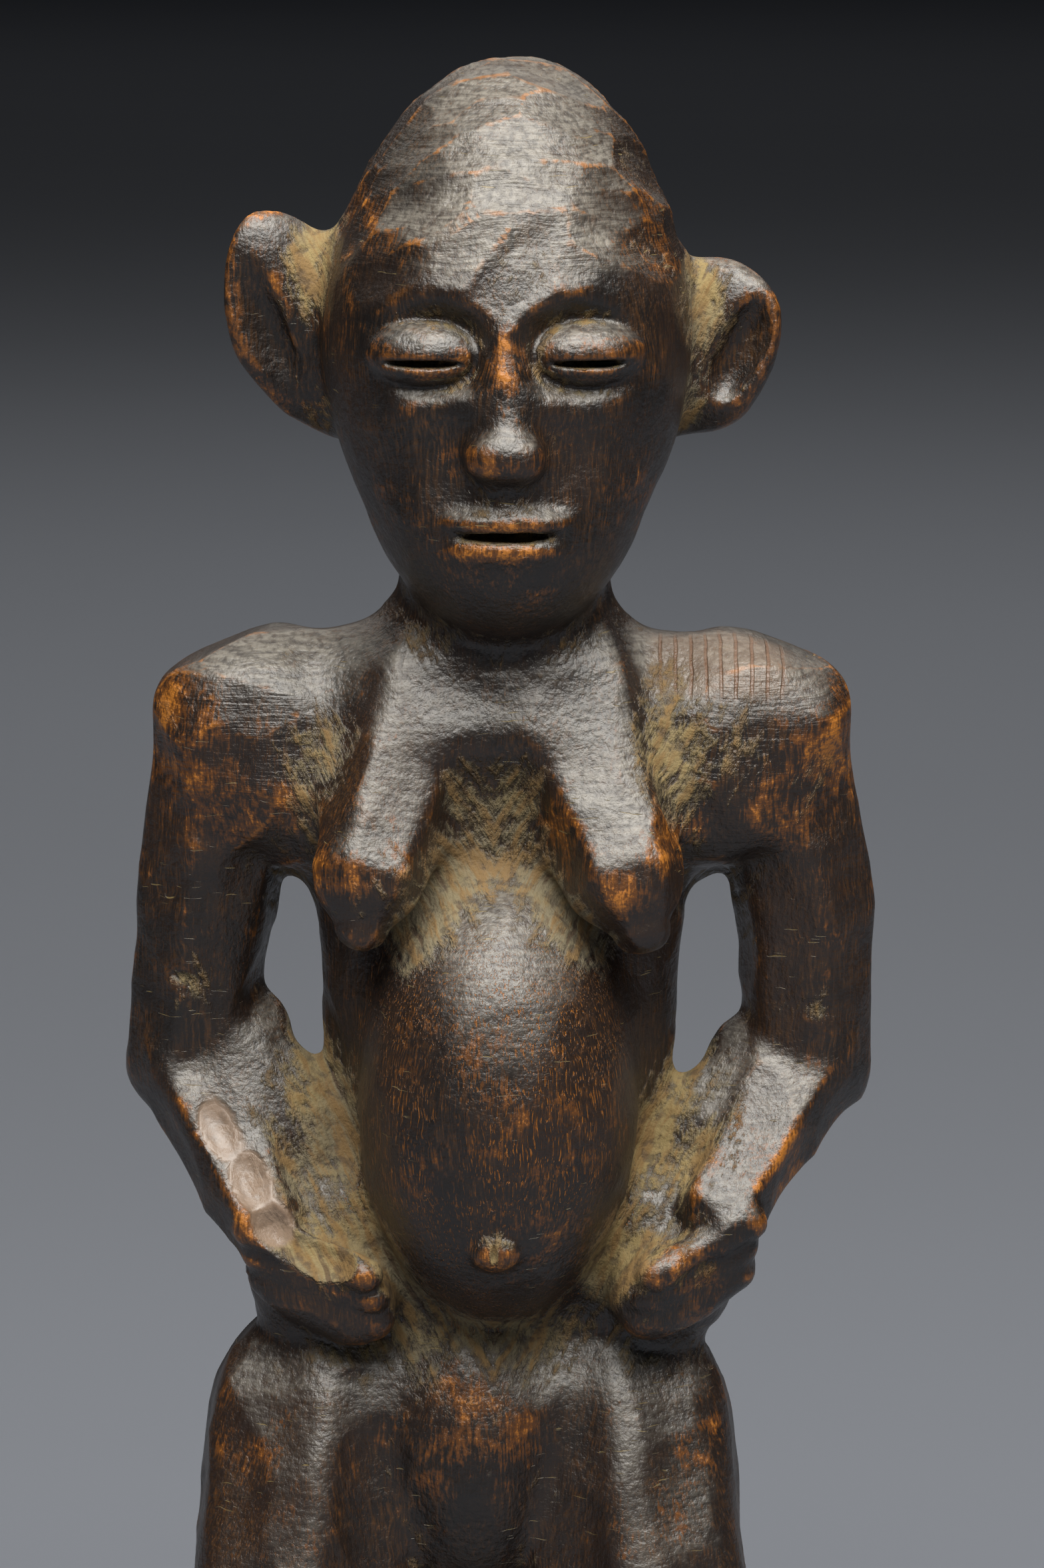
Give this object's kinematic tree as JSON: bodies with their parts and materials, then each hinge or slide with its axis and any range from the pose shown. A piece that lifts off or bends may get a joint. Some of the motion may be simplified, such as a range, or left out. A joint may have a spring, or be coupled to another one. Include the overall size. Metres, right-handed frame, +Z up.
{
  "type": "carved standing figure",
  "caption": "Carved dark wood standing figure with its hands on a round belly, on a low oval base cut from the same block.",
  "frame": {"origin": "centre of the flat underside of the base", "axes": "+Z up through the crown, -Y the way the figure faces, +X to the right as one looks at its front"},
  "size_m": [0.0976, 0.076, 0.2596],
  "materials": {
    "patinated_wood": "hand-cut, dark brown to black patina rubbed to a soft sheen, orange-brown where the edges are worn, dusty grey-brown dirt in the hollows"
  },
  "bodies": {
    "root": {"figure": "patinated_wood"}
  },
  "joints": []
}
